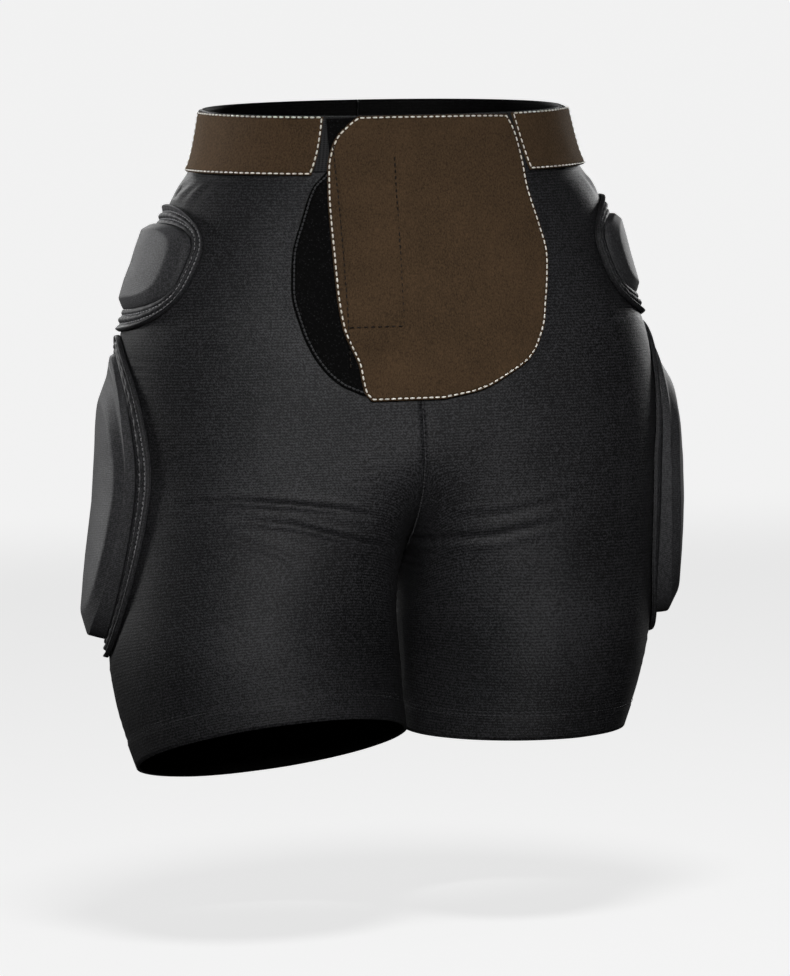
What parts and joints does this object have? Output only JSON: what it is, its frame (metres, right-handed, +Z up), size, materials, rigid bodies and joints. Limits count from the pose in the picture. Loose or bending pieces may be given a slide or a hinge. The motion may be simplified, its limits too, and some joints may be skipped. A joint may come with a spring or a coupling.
{
  "type": "padded hip and thigh protection shorts",
  "caption": "Close-fitting padded shorts with a fastening belt, a front flap over a loop panel, and raised foam pads on the hips and the outer thighs.",
  "frame": {"origin": "centre of the waist opening, where the belt sits on the waist", "axes": "+Z up the body, -Y out of the front, +X to the wearer's left"},
  "size_m": [0.4004, 0.2256, 0.4461],
  "materials": {
    "knit": "charcoal black stretch knit, matt with a faint sheen",
    "elastic": "black woven elastic",
    "fleece": "dark brown brushed fleece with white contrast stitching round its edges",
    "plush": "black napped loop plush",
    "hook_tape": "black nylon hook tape",
    "pad_border": "black knit facing with rows of stitching",
    "pad_fabric": "charcoal stretch fabric moulded over foam"
  },
  "bodies": {
    "root": {"shorts_right": "knit", "shorts_left": "knit", "waistband_right": "elastic", "waistband_left": "elastic", "belt_wing_right": "fleece", "belt_wing_left": "fleece", "loop_panel": "plush", "hook_strip": "hook_tape", "front_flap": "fleece", "hip_pad_border_right": "pad_border", "hip_pad_border_left": "pad_border", "hip_pad_right": "pad_fabric", "hip_pad_left": "pad_fabric", "thigh_pad_border_right": "pad_border", "thigh_pad_border_left": "pad_border", "thigh_pad_right": "pad_fabric", "thigh_pad_left": "pad_fabric"}
  },
  "joints": []
}
